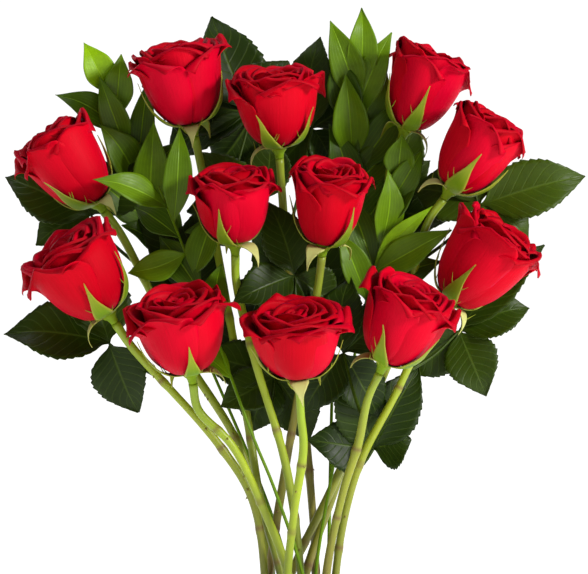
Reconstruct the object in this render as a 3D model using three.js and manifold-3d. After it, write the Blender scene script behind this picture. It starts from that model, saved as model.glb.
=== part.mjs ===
// A dozen long-stemmed red roses with rose leaves and ruscus, standing in a plain clear glass vase.
// Millimetres, +Z up. The vase stands on Z = 0 with its axis on Z, and the bouquet faces -Y.

import * as THREE from "three";
import { mergeVertices } from "three/addons/utils/BufferGeometryUtils.js";
import Module from "manifold-3d";

const wasm = await Module();
wasm.setup();

// ---------------------------------------------------------------- driving dimensions

const GAP = 0.4; // between two pieces that touch in the real bouquet

const VASE_HEIGHT = 200;
const VASE_WALL = 4;
const VASE_FLOOR = 12;
const VASE_FOOT_RADIUS = 47;
const VASE_BELLY_RADIUS = 61;
const VASE_RIM_FLARE = 11; // how far the rim stands out from the neck
const NECK_CLEARANCE = 7; // between the bunch of stems and the glass

const STEM_DIAMETER = 5.6;
const BUNCH_PITCH = 1.5; // room for one stem in the neck, in stem diameters
const BUNCH_SPREAD = 1.2; // the cut ends against the bunch at the rim
const BUNCH_TWIST = 24; // degrees that the bunch turns from the rim to the cut ends

const BLOOM_DIAMETER = 66;
const HIP_HEIGHT = 9;
const HIP_RADIUS = 6;
const SEPAL_LENGTH = 30;
const SEPAL_WIDTH = 7;
const SEPAL_CLEARANCE = 1.3;

const LEAF_THICKNESS = 0.9;
const PETIOLE_DIAMETER = 1.8;
const RUSCUS_STEM_DIAMETER = 3;

// Heads and leaves are placed in grid steps: 1 across, 1 back and 1 up from the middle of the rim.
const GRID = BLOOM_DIAMETER / 6.6;

const STEM_SIDES = 8;
const STEM_STEPS = 14;
const VASE_SIDES = 32;
const BLOOM_SIDES = 20;
const PETALS_ROUND = 5;

// ---------------------------------------------------------------- colours

const GLASS = { color: 0xe4f0ee, roughness: 0.05, metalness: 0 };
const PETAL_RED = { color: 0xb8041c, roughness: 0.6, metalness: 0 };
const SEPAL_GREEN = { color: 0x7f9a1e, roughness: 0.6, metalness: 0 };
const STEM_GREEN = { color: 0x8f9c1c, roughness: 0.5, metalness: 0 };
const ROSE_LEAF = { color: 0x24380f, roughness: 0.45, metalness: 0 };
const RUSCUS_LEAF = { color: 0x47751a, roughness: 0.45, metalness: 0 };

// ---------------------------------------------------------------- the bouquet

// at: where the petals start. lean: degrees to the right, and degrees towards the front.
// turn: degrees that the sepals are turned about the stem.
// via: places that the stem passes, from the rim up. bunch: its place in the neck, in pitches.
const ROSES = {
  a: { at: [-6.9, 1.6, 30.6], lean: [-12, 10], turn: 36, size: 1.07, tall: 0.81, bunch: [-1.0, -0.4],
    via: [[-2.3, -0.1, 5.7], [-3.2, 0.6, 11.0], [-5.0, 2.0, 21.0]] },
  b: { at: [-1.2, -0.3, 29.1], lean: [-4, 14], turn: 20, size: 1.03, tall: 0.76, bunch: [1.5, 2.6],
    via: [[0.4, 2.2, 12.0], [-0.5, 1.6, 20.0]] },
  c: { at: [7.2, 2.4, 30.4], lean: [22, 8], turn: 45, size: 0.93, tall: 0.83, bunch: [0.4, 1.5],
    via: [[2.9, 1.9, 8.0], [5.6, 3.2, 20.0]] },
  d: { at: [-13.1, 0.6, 25.5], lean: [-36, 10], turn: 68, size: 0.95, tall: 0.88, bunch: [-1.9, 1.8],
    via: [[-3.5, 1.4, 8.8], [-7.8, 1.4, 16.0]] },
  e: { at: [10.0, -0.9, 26.3], lean: [34, 12], turn: 36, size: 0.92, tall: 0.85, bunch: [-0.8, 0.7],
    via: [[2.4, 0.9, 7.0], [6.2, 0.9, 15.5]] },
  f: { at: [-4.0, -3.1, 22.8], lean: [-2, 16], turn: 13, size: 0.92, tall: 0.72, bunch: [0.4, -0.3],
    via: [[-0.7, -1.3, 8.2], [-2.7, -2.2, 15.1]] },
  g: { at: [1.7, -2.9, 22.7], lean: [7, 20], turn: 9, size: 0.88, tall: 0.8, bunch: [-2.3, 0.7],
    via: [[-0.7, 0.3, 8.4], [0.3, -0.8, 14.0]] },
  h: { at: [-12.2, -2.6, 18.3], lean: [-34, 14], turn: 30, size: 1.14, tall: 0.84, bunch: [-2.4, -0.8],
    via: [[-2.9, -1.0, 6.1], [-5.0, -1.3, 9.6]] },
  i: { at: [-6.8, -5.1, 14.6], lean: [-11, 18], turn: 44, size: 1.13, tall: 0.77, bunch: [-0.3, -1.75],
    via: [[-2.2, -2.6, 5.7], [-4.2, -3.9, 9.8]] },
  j: { at: [0.1, -6.3, 14.3], lean: [-3, 20], turn: 36, size: 1.09, tall: 0.69, bunch: [-0.8, -2.9],
    via: [[-0.2, -3.8, 5.4], [0.4, -5.0, 9.7]] },
  k: { at: [5.6, -5.1, 15.2], lean: [24, 16], turn: 20, size: 1.0, tall: 0.82, bunch: [2.1, -1.7],
    via: [[2.9, -2.6, 6.5], [3.9, -3.5, 9.8]] },
  l: { at: [10.0, -1.5, 19.0], lean: [38, 12], turn: 20, size: 1.06, tall: 0.92, bunch: [2.85, -0.7],
    via: [[3.8, -1.1, 7.8], [6.3, -1.0, 12.8]] },
};

// A rose leaf leaves its stem at a height, and its leaflets spread from a hub to their tips.
const ROSE_LEAVES = {
  top_left: { stem: "a", height: 24, hub: [-3.4, 4.8, 31.4], wide: 3.2,
    tips: [[-6.1, 5.6, 37.6], [-0.6, 4.8, 34.6], [-5.2, 5.4, 28.6], [-10.4, 5.8, 33.4],
      [-9.0, 7.0, 28.6]] },
  top_right: { stem: "b", height: 23, hub: [1.0, 5.0, 30.4], wide: 2.8,
    tips: [[1.6, 5.6, 36.4], [4.6, 6.6, 33.4], [-1.6, 6.0, 27.6], [2.6, 5.8, 27.2],
      [-3.2, 5.6, 30.2]] },
  middle_top: { stem: "b", height: 20, hub: [-2.4, 3.0, 25.4], wide: 2.6,
    tips: [[-6.0, 3.2, 28.8], [-1.8, 4.2, 29.8], [-5.2, 3.8, 23.0], [-7.4, 4.4, 25.0]] },
  middle_right: { stem: "c", height: 19, hub: [5.4, 5.8, 25.0], wide: 2.8,
    tips: [[5.2, 6.6, 31.2], [8.6, 5.8, 28.2], [2.6, 6.8, 23.4], [8.0, 6.6, 31.4],
      [10.4, 5.2, 24.6]] },
  left_upper: { stem: "d", height: 21.5, hub: [-13.6, 3.2, 24.6], wide: 3.0,
    tips: [[-19.2, 3.0, 27.2], [-17.0, 2.6, 23.1], [-14.6, 4.4, 29.4]] },
  left_lower: { stem: "h", height: 14.2, hub: [-12.2, -0.2, 16.2], wide: 3.7,
    tips: [[-19.0, -0.6, 17.0], [-10.4, -0.6, 11.7], [-13.6, 1.8, 21.6]] },
  left_inner: { stem: "d", height: 15.5, hub: [-6.6, 2.8, 19.6], wide: 2.6,
    tips: [[-6.4, 3.2, 25.2], [-10.6, 2.6, 21.2], [-4.6, 2.4, 15.2], [-10.4, 2.8, 24.4],
      [-10.2, 3.2, 17.6]] },
  right_upper: { stem: "e", height: 21.5, hub: [12.0, 1.8, 25.2], wide: 3.4,
    tips: [[18.9, 1.8, 27.2], [15.2, 2.6, 23.6], [10.6, 3.2, 29.6]] },
  right_lower: { stem: "l", height: 14.5, hub: [10.6, 1.2, 17.0], wide: 3.0,
    tips: [[12.2, 0.2, 13.1], [16.1, 1.8, 22.6], [7.2, 1.6, 14.6], [15.2, 1.6, 18.0]] },
  low_right: { stem: "l", height: 8.2, hub: [5.0, 0.7, 9.3], wide: 3.3,
    tips: [[7.9, 0.7, 14.2], [1.0, -1.3, 10.2], [2.8, -1.6, 14.4], [7.4, 0.4, 10.0]] },
  centre: { stem: "g", height: 17, hub: [-0.2, -1.4, 20.6], wide: 2.8,
    tips: [[-4.0, -3.6, 19.0], [-1.8, -0.6, 25.4], [-2.0, -0.8, 16.8]] },
  centre_right: { stem: "k", height: 11.5, hub: [3.0, -1.8, 15.6], wide: 2.8,
    tips: [[3.4, -0.8, 20.4], [6.4, -1.2, 19.0], [0.6, -1.6, 12.2], [4.8, -0.8, 11.0]] },
  low_middle: { stem: "f", height: 12, hub: [-1.4, 0.8, 14.0], wide: 3.0,
    tips: [[0.8, 1.0, 10.2], [-2.6, -0.4, 11.4], [-2.6, 1.4, 18.6], [-4.9, -0.9, 12.2],
      [-6.4, 0.8, 15.4]] },
  back: { stem: "b", height: 13, hub: [0.4, 4.4, 17.0], wide: 3.2,
    tips: [[-3.4, 5.4, 20.2], [3.6, 2.8, 20.8], [0.0, 5.6, 12.2], [-2.8, 5.4, 24.2],
      [2.2, 5.2, 24.4], [5.6, 5.0, 17.6]] },
};

// A sprig of ruscus: the stem's way up from the neck, its tip, and each leaf from a height to a tip.
const RUSCUS = {
  left_top: { bunch: [-0.4, 2.7], via: [[-7.6, 4.6, 19.0], [-11.0, 4.2, 28.0]], tip: [-12.6, 4.2, 33.2],
    leaves: [[32.6, -14.0, 3.4, 36.0, 1.7], [31, -11.6, 3.4, 35.2, 1.6], [30, -15.8, 2.8, 32.6, 1.7],
      [28.6, -13.0, 2.6, 33.6, 1.5], [27, -9.9, 4.2, 33.6, 1.4], [26, -8.0, 3.0, 29.4, 1.8],
      [24, -13.2, 2.6, 27.0, 1.9], [22, -8.8, 2.8, 26.6, 1.8], [26.4, -12.8, 2.2, 30.5, 2.0],
      [24.6, -9.4, 2.0, 30.6, 1.9], [22.6, -11.4, 2.6, 24.0, 1.7]] },
  right_top: { bunch: [2.4, 1.8], via: [[2.6, 5.0, 19.0], [3.6, 4.8, 28.0]], tip: [4.2, 4.6, 34.0],
    leaves: [[33, 4.3, 3.8, 38.3, 1.6], [32, 2.2, 3.6, 37.4, 1.8], [31, 6.2, 3.8, 36.7, 1.7],
      [29.6, 5.7, 4.8, 35.4, 1.8], [28.2, 3.2, 3.0, 33.8, 1.9], [26.4, 6.8, 4.2, 30.4, 2.0],
      [24, 1.0, 3.4, 27.8, 1.9], [22, 6.4, 3.6, 26.8, 2.0], [30.4, 2.6, 3.8, 35.4, 1.8],
      [25, 2.2, 3.8, 30.6, 1.9], [23, 7.6, 3.6, 28.2, 1.9]] },
  right_mid: { bunch: [1.3, -0.8], via: [[2.2, -0.1, 7.4], [4.6, 0.4, 19.4]], tip: [6.6, 0.4, 27.2],
    leaves: [[26.8, 6.8, -0.2, 29.7, 1.6], [25.4, 8.1, -0.2, 28.7, 1.4], [22.4, 6.0, -0.8, 27.4, 1.6],
      [21.2, 8.7, -1.3, 25.0, 1.0], [20.8, 9.8, -1.8, 23.6, 1.8], [19, 2.8, -0.6, 23.4, 1.6],
      [17, 6.4, -0.8, 20.4, 1.5], [23.6, 8.0, 0.6, 27.4, 1.7], [21, 3.2, 0.8, 26.0, 1.7]] },
  left_mid: { bunch: [0.75, -1.75], via: [[-1.4, -2.2, 6.7], [-2.9, -2.4, 10.4], [-7.2, -0.8, 22.0]],
    tip: [-9.0, 0.2, 26.4],
    leaves: [[25, -12.9, -2.8, 26.9, 1.7], [24, -7.6, -0.6, 30.2, 1.5], [22, -11.0, -0.6, 20.8, 1.6],
      [20.6, -5.4, -0.6, 24.6, 1.7], [17, -5.0, -0.8, 21.4, 1.6], [14, -7.2, -0.6, 16.6, 1.6],
      [23, -10.6, 0.6, 25.2, 1.7], [19.4, -9.0, 0.4, 23.2, 1.7], [18, -9.6, -0.4, 17.4, 1.6]] },
};

// ---------------------------------------------------------------- helpers

const UP = new THREE.Vector3(0, 0, 1);
const radians = THREE.MathUtils.degToRad;

// A place in the bouquet, from grid steps.
function place([x, y, z]) {
  return new THREE.Vector3(x * GRID, y * GRID, VASE_HEIGHT + z * GRID);
}

// A closed skin over rings that all have the same number of points, with a point in each end.
function loft(rings) {
  const count = rings[0].length;
  const points = rings.flat();
  const index = [];
  for (let r = 0; r + 1 < rings.length; r++) {
    for (let i = 0; i < count; i++) {
      const a = r * count + i;
      const b = r * count + ((i + 1) % count);
      index.push(a, b, b + count, a, b + count, a + count);
    }
  }
  const ends = [rings[0], rings[rings.length - 1]];
  ends.forEach((ring, end) => {
    const middle = new THREE.Vector3();
    ring.forEach((p) => middle.addScaledVector(p, 1 / count));
    points.push(middle);
    const start = end === 0 ? 0 : (rings.length - 1) * count;
    for (let i = 0; i < count; i++) {
      const a = start + i;
      const b = start + ((i + 1) % count);
      index.push(points.length - 1, end === 0 ? b : a, end === 0 ? a : b);
    }
  });
  const geometry = new THREE.BufferGeometry().setFromPoints(points);
  geometry.setIndex(index);
  return geometry;
}

// A manifold-3d solid from a closed geometry.
function solid(geometry) {
  const bare = geometry.clone();
  bare.deleteAttribute("normal");
  bare.deleteAttribute("uv");
  const merged = mergeVertices(bare, 1e-4);
  return new wasm.Manifold(
    new wasm.Mesh({
      numProp: 3,
      vertProperties: merged.attributes.position.array,
      triVerts: new Uint32Array(merged.index.array),
    }),
  );
}

// One closed geometry from several that run into each other.
function joined(geometries) {
  let whole = solid(geometries[0]);
  for (const geometry of geometries.slice(1)) {
    whole = whole.add(solid(geometry));
  }
  const mesh = whole.getMesh();
  const geometry = new THREE.BufferGeometry();
  geometry.setAttribute("position", new THREE.BufferAttribute(mesh.vertProperties, mesh.numProp));
  geometry.setIndex(new THREE.BufferAttribute(mesh.triVerts, 1));
  return geometry;
}

function named(name, geometry, look) {
  const shaded = geometry.index ? geometry.toNonIndexed() : geometry;
  shaded.computeVertexNormals();
  const mesh = new THREE.Mesh(shaded, new THREE.MeshStandardMaterial(look));
  mesh.name = name;
  return mesh;
}

// A round rod along a curve.
function rod(curve, diameter, sides, steps) {
  const section = new THREE.Shape();
  for (let i = 0; i < sides; i++) {
    const angle = (2 * Math.PI * i) / sides;
    const x = (diameter / 2) * Math.cos(angle);
    const y = (diameter / 2) * Math.sin(angle);
    if (i === 0) section.moveTo(x, y);
    else section.lineTo(x, y);
  }
  return new THREE.ExtrudeGeometry(section, { steps, bevelEnabled: false, extrudePath: curve });
}

// ---------------------------------------------------------------- vase

const pitch = STEM_DIAMETER * BUNCH_PITCH;
const bunched = [...Object.values(ROSES), ...Object.values(RUSCUS)].map(({ bunch }) => bunch);
const bunchRadius = pitch * Math.max(...bunched.map(([x, y]) => Math.hypot(x, y)));
const neckRadius = bunchRadius + STEM_DIAMETER / 2 + NECK_CLEARANCE;

// The inside of the glass, from the floor to the rim, as [radius, height].
function vaseInside() {
  const outline = new THREE.CatmullRomCurve3([
    new THREE.Vector3(VASE_FOOT_RADIUS - VASE_WALL, VASE_FLOOR, 0),
    new THREE.Vector3(VASE_BELLY_RADIUS - VASE_WALL, VASE_HEIGHT * 0.4, 0),
    new THREE.Vector3(neckRadius, VASE_HEIGHT * 0.86, 0),
    new THREE.Vector3(neckRadius + VASE_RIM_FLARE, VASE_HEIGHT, 0),
  ]);
  return outline.getPoints(9).map((p) => [p.x, p.y]);
}

function vase() {
  const inside = vaseInside();
  const outside = inside.map(([r, z]) => [r + VASE_WALL, z]);
  outside[0] = [VASE_FOOT_RADIUS, VASE_WALL];
  const profile = [[0, 0], [VASE_FOOT_RADIUS - VASE_WALL / 2, 0], ...outside];
  profile.push(...inside.reverse(), [0, VASE_FLOOR]);
  const points = profile.map(([r, z]) => new THREE.Vector2(r, z));
  const geometry = new THREE.LatheGeometry(points, VASE_SIDES);
  return named("vase", geometry.rotateX(Math.PI / 2), GLASS);
}

// ---------------------------------------------------------------- stems

// The cut end, the neck and the rim of a stem whose place in the bunch is known.
function bunchPoints([x, y], diameter) {
  const rim = new THREE.Vector3(x * pitch, y * pitch, VASE_HEIGHT);
  const twist = radians(BUNCH_TWIST);
  const foot = rim.clone().applyAxisAngle(UP, twist).multiplyScalar(BUNCH_SPREAD);
  const run = Math.hypot(rim.x - foot.x, rim.y - foot.y);
  const tilt = Math.atan2(run, VASE_HEIGHT - VASE_FLOOR);
  foot.z = VASE_FLOOR + (diameter / 2) * Math.sin(tilt) + GAP;
  return [foot, foot.clone().lerp(rim, 0.5), rim];
}

function bloomAxis([right, front]) {
  const axis = new THREE.Vector3(Math.tan(radians(right)), -Math.tan(radians(front)), 1);
  return axis.normalize();
}

function stemCurve(rose) {
  const axis = bloomAxis(rose.lean);
  const top = place(rose.at).addScaledVector(axis, -HIP_HEIGHT - GAP);
  const under = top.clone().addScaledVector(axis, -HIP_HEIGHT * 2);
  const way = rose.via.map(place);
  return new THREE.CatmullRomCurve3([...bunchPoints(rose.bunch, STEM_DIAMETER), ...way, under, top]);
}

function stem(key, rose) {
  return named("stem_" + key, rod(stemCurve(rose), STEM_DIAMETER, STEM_SIDES, STEM_STEPS), STEM_GREEN);
}

// ---------------------------------------------------------------- heads

// Rings of a head from its base over each row of petals to the heart, in bloom radii and bloom heights.
// lift and reach say how far a petal's tip stands out of its ring, and turn which row the petals are in.
const HEAD_RINGS = [
  { r: 0.3, z: 0, reach: 0, lift: 0, turn: 0 },
  { r: 0.62, z: 0.13, reach: 0.01, lift: 0, turn: 0 },
  { r: 0.8, z: 0.34, reach: 0.02, lift: 0, turn: 0 },
  { r: 0.84, z: 0.58, reach: 0.03, lift: 0, turn: 0 },
  { r: 0.94, z: 0.78, reach: 0.1, lift: -0.03, turn: 0 },
  { r: 0.86, z: 0.86, reach: 0.06, lift: 0.02, turn: 0 },
  { r: 0.7, z: 0.72, reach: 0, lift: 0, turn: 0 },
  { r: 0.64, z: 0.93, reach: 0.06, lift: 0.03, turn: 0.5 },
  { r: 0.5, z: 0.8, reach: 0, lift: 0, turn: 0.5 },
  { r: 0.42, z: 0.98, reach: 0.04, lift: 0.03, turn: 0.25 },
  { r: 0.28, z: 0.86, reach: 0, lift: 0, turn: 0.25 },
  { r: 0.14, z: 0.95, reach: 0, lift: 0, turn: 0 },
];

function headRadius(rose) {
  return (rose.size * BLOOM_DIAMETER) / 2;
}

function head(key, rose) {
  const radius = headRadius(rose);
  const height = rose.tall * BLOOM_DIAMETER;
  const rings = HEAD_RINGS.map(({ r, z, reach, lift, turn }) => {
    const ring = [];
    for (let i = 0; i < BLOOM_SIDES; i++) {
      const angle = (2 * Math.PI * i) / BLOOM_SIDES;
      const tip = Math.cos(PETALS_ROUND * angle + 2 * Math.PI * turn);
      const out = radius * (r + reach * tip);
      ring.push(new THREE.Vector3(out * Math.cos(angle), out * Math.sin(angle), height * (z + lift * tip)));
    }
    return ring;
  });
  return named("bloom_" + key, seated(loft(rings), rose), PETAL_RED);
}

// The radius of a head's outside at a height over its base, out of the same rings.
function outsideRadius(rose, z) {
  const radius = headRadius(rose);
  const height = rose.tall * BLOOM_DIAMETER;
  const wall = HEAD_RINGS.slice(0, 5).map((ring) => [radius * (ring.r + ring.reach), height * ring.z]);
  const above = wall.findIndex(([, ringZ]) => ringZ >= z);
  if (above <= 0) return above === 0 ? wall[0][0] : wall[wall.length - 1][0];
  const [[r0, z0], [r1, z1]] = [wall[above - 1], wall[above]];
  return THREE.MathUtils.mapLinear(z, z0, z1, r0, r1);
}

// Puts a geometry that was made around +Z, with the head's base at 0, where its rose grows.
function seated(geometry, rose) {
  const turn = new THREE.Quaternion().setFromUnitVectors(UP, bloomAxis(rose.lean));
  const at = place(rose.at);
  geometry.applyQuaternion(turn);
  return geometry.translate(at.x, at.y, at.z);
}

// ---------------------------------------------------------------- calyx: hip and five sepals

// The hip from the stem up, as [share of its radius, share of its height]; sepals grow out of one band.
const HIP_RINGS = [[0.47, 0], [0.85, 0.4], [1, 0.8], [0.85, 1]];
const SEPAL_BAND = 1;
// How wide a sepal is at each step from the hip; it ends in a point.
const SEPAL_SHARES = [0.95, 0.85, 0.4];

const SEPAL_UP = [10, 80];
const SEPAL_FOLDED = [5, -60];

// The cross sections of a sepal that bends from rise[0] to rise[1] degrees over the horizontal.
function sepalSections(rose, angle, rise) {
  const side = new THREE.Vector3(-Math.sin(angle), Math.cos(angle), 0);
  const outwards = new THREE.Vector3(Math.cos(angle), Math.sin(angle), 0);
  const step = SEPAL_LENGTH / (SEPAL_SHARES.length + 1);
  let radius = HIP_RADIUS;
  let z = -HIP_HEIGHT * 0.3;
  const sections = [...SEPAL_SHARES, 0].map((share, s) => {
    const slope = radians(THREE.MathUtils.lerp(rise[0], rise[1], s / SEPAL_SHARES.length));
    radius += step * Math.cos(slope);
    z += step * Math.sin(slope);
    if (z > -SEPAL_CLEARANCE) radius = Math.max(radius, outsideRadius(rose, z) + SEPAL_CLEARANCE);
    const inner = outwards.clone().multiplyScalar(radius).addScaledVector(UP, z);
    const through = outwards.clone().multiplyScalar(Math.sin(slope)).addScaledVector(UP, -Math.cos(slope));
    const outer = inner.clone().addScaledVector(through, LEAF_THICKNESS);
    const half = (share * SEPAL_WIDTH) / 2;
    return [
      outer.clone().addScaledVector(side, -half),
      outer.clone().addScaledVector(side, half),
      inner.clone().addScaledVector(side, half),
      inner.clone().addScaledVector(side, -half),
    ];
  });
  return { sections: sections.slice(0, -1), tip: sections.at(-1)[0] };
}

// One skin over the hip and its sepals: every second face of the sepal band runs out into a sepal.
function calyx(key, rose, number) {
  const sides = 2 * PETALS_ROUND;
  const corner = (i) => (2 * Math.PI * i) / sides + radians(rose.turn);
  const hipZ = (share) => THREE.MathUtils.lerp(-HIP_HEIGHT, -GAP, share);
  const points = [];
  for (const [r, z] of HIP_RINGS) {
    for (let i = 0; i < sides; i++) {
      const out = new THREE.Vector3(Math.cos(corner(i)), Math.sin(corner(i)), 0);
      points.push(out.multiplyScalar(r * HIP_RADIUS).addScaledVector(UP, hipZ(z)));
    }
  }
  const index = [];
  const quad = (a, b, c, d) => index.push(a, b, c, a, c, d);
  for (let band = 0; band + 1 < HIP_RINGS.length; band++) {
    for (let i = 0; i < sides; i++) {
      const a = band * sides + i;
      const b = band * sides + ((i + 1) % sides);
      if (band !== SEPAL_BAND || i % 2 === 1) {
        quad(a, b, b + sides, a + sides);
        continue;
      }
      const folds = (i / 2 + number) % 3 === 0;
      const { sections, tip } = sepalSections(rose, corner(i + 0.5), folds ? SEPAL_FOLDED : SEPAL_UP);
      let from = [a, b, b + sides, a + sides];
      for (const section of sections) {
        const to = section.map((p) => points.push(p) - 1);
        to.forEach((_, k) => quad(from[k], from[(k + 1) % 4], to[(k + 1) % 4], to[k]));
        from = to;
      }
      const end = points.push(tip) - 1;
      from.forEach((_, k) => index.push(from[k], from[(k + 1) % 4], end));
    }
  }
  const bottom = points.push(new THREE.Vector3(0, 0, hipZ(0))) - 1;
  const top = points.push(new THREE.Vector3(0, 0, hipZ(1))) - 1;
  const topRing = (HIP_RINGS.length - 1) * sides;
  for (let i = 0; i < sides; i++) {
    const next = (i + 1) % sides;
    index.push(bottom, next, i, top, topRing + i, topRing + next);
  }
  const geometry = new THREE.BufferGeometry().setFromPoints(points);
  geometry.setIndex(index);
  return named("calyx_" + key, seated(geometry, rose), SEPAL_GREEN);
}

// ---------------------------------------------------------------- leaves

// A blade from its base to its tip, bent back a little, with a fold along the midrib.
function blade(base, tip, width, shape) {
  const along = tip.clone().sub(base);
  const length = along.length();
  const front = new THREE.Vector3(0, -1, 0.35);
  const side = new THREE.Vector3().crossVectors(along, front).normalize();
  const face = new THREE.Vector3().crossVectors(side, along).normalize();
  const middle = base.clone().lerp(tip, 0.5).addScaledVector(face, length * 0.06);
  const midrib = new THREE.QuadraticBezierCurve3(base, middle, tip);
  return loft(
    shape.map(([t, share]) => {
      const half = (width / 2) * share;
      const centre = midrib.getPoint(t);
      const edge = centre.clone().addScaledVector(face, half * 0.25);
      return [
        edge.clone().addScaledVector(side, -half),
        centre.clone().addScaledVector(face, LEAF_THICKNESS / 2),
        edge.clone().addScaledVector(side, half),
        centre.clone().addScaledVector(face, -LEAF_THICKNESS / 2),
      ];
    }),
  );
}

// How wide a blade is along its length: [share of the length, share of the width].
const ROSE_SHAPE = [[0, 0.05], [0.16, 0.06], [0.32, 0.8], [0.52, 1], [0.8, 0.64], [1, 0.03]];
const RUSCUS_SHAPE = [[0, 0.06], [0.22, 0.68], [0.45, 1], [0.7, 0.74], [1, 0.03]];

// Where a curve that rises passes a height in grid steps, and its direction there.
function passing(curve, height) {
  const z = VASE_HEIGHT + height * GRID;
  const steps = 400;
  const step = curve.getPoints(steps).findIndex((p) => p.z >= z);
  return { point: curve.getPoint(step / steps), tangent: curve.getTangent(step / steps) };
}

function roseLeaf(key, { stem: stemKey, height, hub, wide, tips }) {
  const { point, tangent } = passing(stemCurve(ROSES[stemKey]), height);
  const middle = place(hub);
  const away = middle.clone().sub(point).projectOnPlane(tangent).normalize();
  const start = point.addScaledVector(away, (STEM_DIAMETER + PETIOLE_DIAMETER) / 2 + GAP);
  const petiole = rod(new THREE.LineCurve3(start, middle), PETIOLE_DIAMETER, 5, 1);
  const leaflets = tips.map((tip) => {
    const end = place(tip);
    const base = middle.clone().lerp(end, -0.02);
    return blade(base, end, wide * GRID, ROSE_SHAPE);
  });
  return named("rose_leaf_" + key, joined([petiole, ...leaflets]), ROSE_LEAF);
}

function ruscusCurve({ bunch, via, tip }) {
  return new THREE.CatmullRomCurve3([
    ...bunchPoints(bunch, RUSCUS_STEM_DIAMETER),
    ...via.map(place),
    place(tip),
  ]);
}

function ruscus(key, sprig) {
  const curve = ruscusCurve(sprig);
  const pieces = [rod(curve, RUSCUS_STEM_DIAMETER, 6, 14)];
  for (const [height, x, y, z, wide] of sprig.leaves) {
    const { point } = passing(curve, height);
    pieces.push(blade(point, place([x, y, z]), wide * GRID, RUSCUS_SHAPE));
  }
  return named("ruscus_" + key, joined(pieces), RUSCUS_LEAF);
}

// ---------------------------------------------------------------- assembly

const bouquet = new THREE.Group();
bouquet.add(vase());
Object.entries(ROSES).forEach(([key, rose], number) => {
  bouquet.add(stem(key, rose));
  bouquet.add(calyx(key, rose, number));
  bouquet.add(head(key, rose));
});
for (const [key, leaf] of Object.entries(ROSE_LEAVES)) {
  bouquet.add(roseLeaf(key, leaf));
}
for (const [key, sprig] of Object.entries(RUSCUS)) {
  bouquet.add(ruscus(key, sprig));
}

export default bouquet;
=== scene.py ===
import math

import bpy
import numpy as np
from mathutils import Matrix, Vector


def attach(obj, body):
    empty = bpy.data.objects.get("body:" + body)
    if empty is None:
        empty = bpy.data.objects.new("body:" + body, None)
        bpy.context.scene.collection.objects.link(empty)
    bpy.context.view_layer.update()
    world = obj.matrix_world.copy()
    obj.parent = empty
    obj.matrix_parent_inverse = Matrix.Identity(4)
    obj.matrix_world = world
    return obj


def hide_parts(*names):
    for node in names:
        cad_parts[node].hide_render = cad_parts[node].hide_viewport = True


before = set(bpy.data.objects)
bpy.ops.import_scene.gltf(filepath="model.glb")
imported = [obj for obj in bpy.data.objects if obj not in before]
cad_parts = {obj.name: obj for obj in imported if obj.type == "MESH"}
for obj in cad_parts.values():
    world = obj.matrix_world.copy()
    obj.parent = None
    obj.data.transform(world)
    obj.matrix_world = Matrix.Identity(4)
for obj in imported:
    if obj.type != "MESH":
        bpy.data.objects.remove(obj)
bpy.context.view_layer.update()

# A dozen long-stemmed red roses with rose leaves and ruscus, in a plain clear glass vase.
# Lengths below are in millimetres unless a name ends in _M; the row frame is in metres.

MM = 0.001
VASE_HEIGHT = 200.0
VASE_WALL = 4.0
VASE_FLOOR = 12.0
VASE_FOOT_RADIUS = 47.0
VASE_BELLY_RADIUS = 61.0
VASE_RIM_FLARE = 11.0
NECK_CLEARANCE = 7.0
WATER_HEIGHT = 118.0
WATER_SINK = 0.25  # how far the water reaches into the glass, so that no air shows between them
GAP = 0.4
STEM_DIAMETER = 5.6
BUNCH_PITCH = 1.5
BUNCH_SPREAD = 1.2
BUNCH_TWIST = math.radians(24)
BLOOM_DIAMETER = 66.0
HIP_HEIGHT = 9.0
HIP_RADIUS = 6.0
RUSCUS_STEM_DIAMETER = 3.0
GRID = BLOOM_DIAMETER / 6.6
PITCH = STEM_DIAMETER * BUNCH_PITCH

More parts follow.
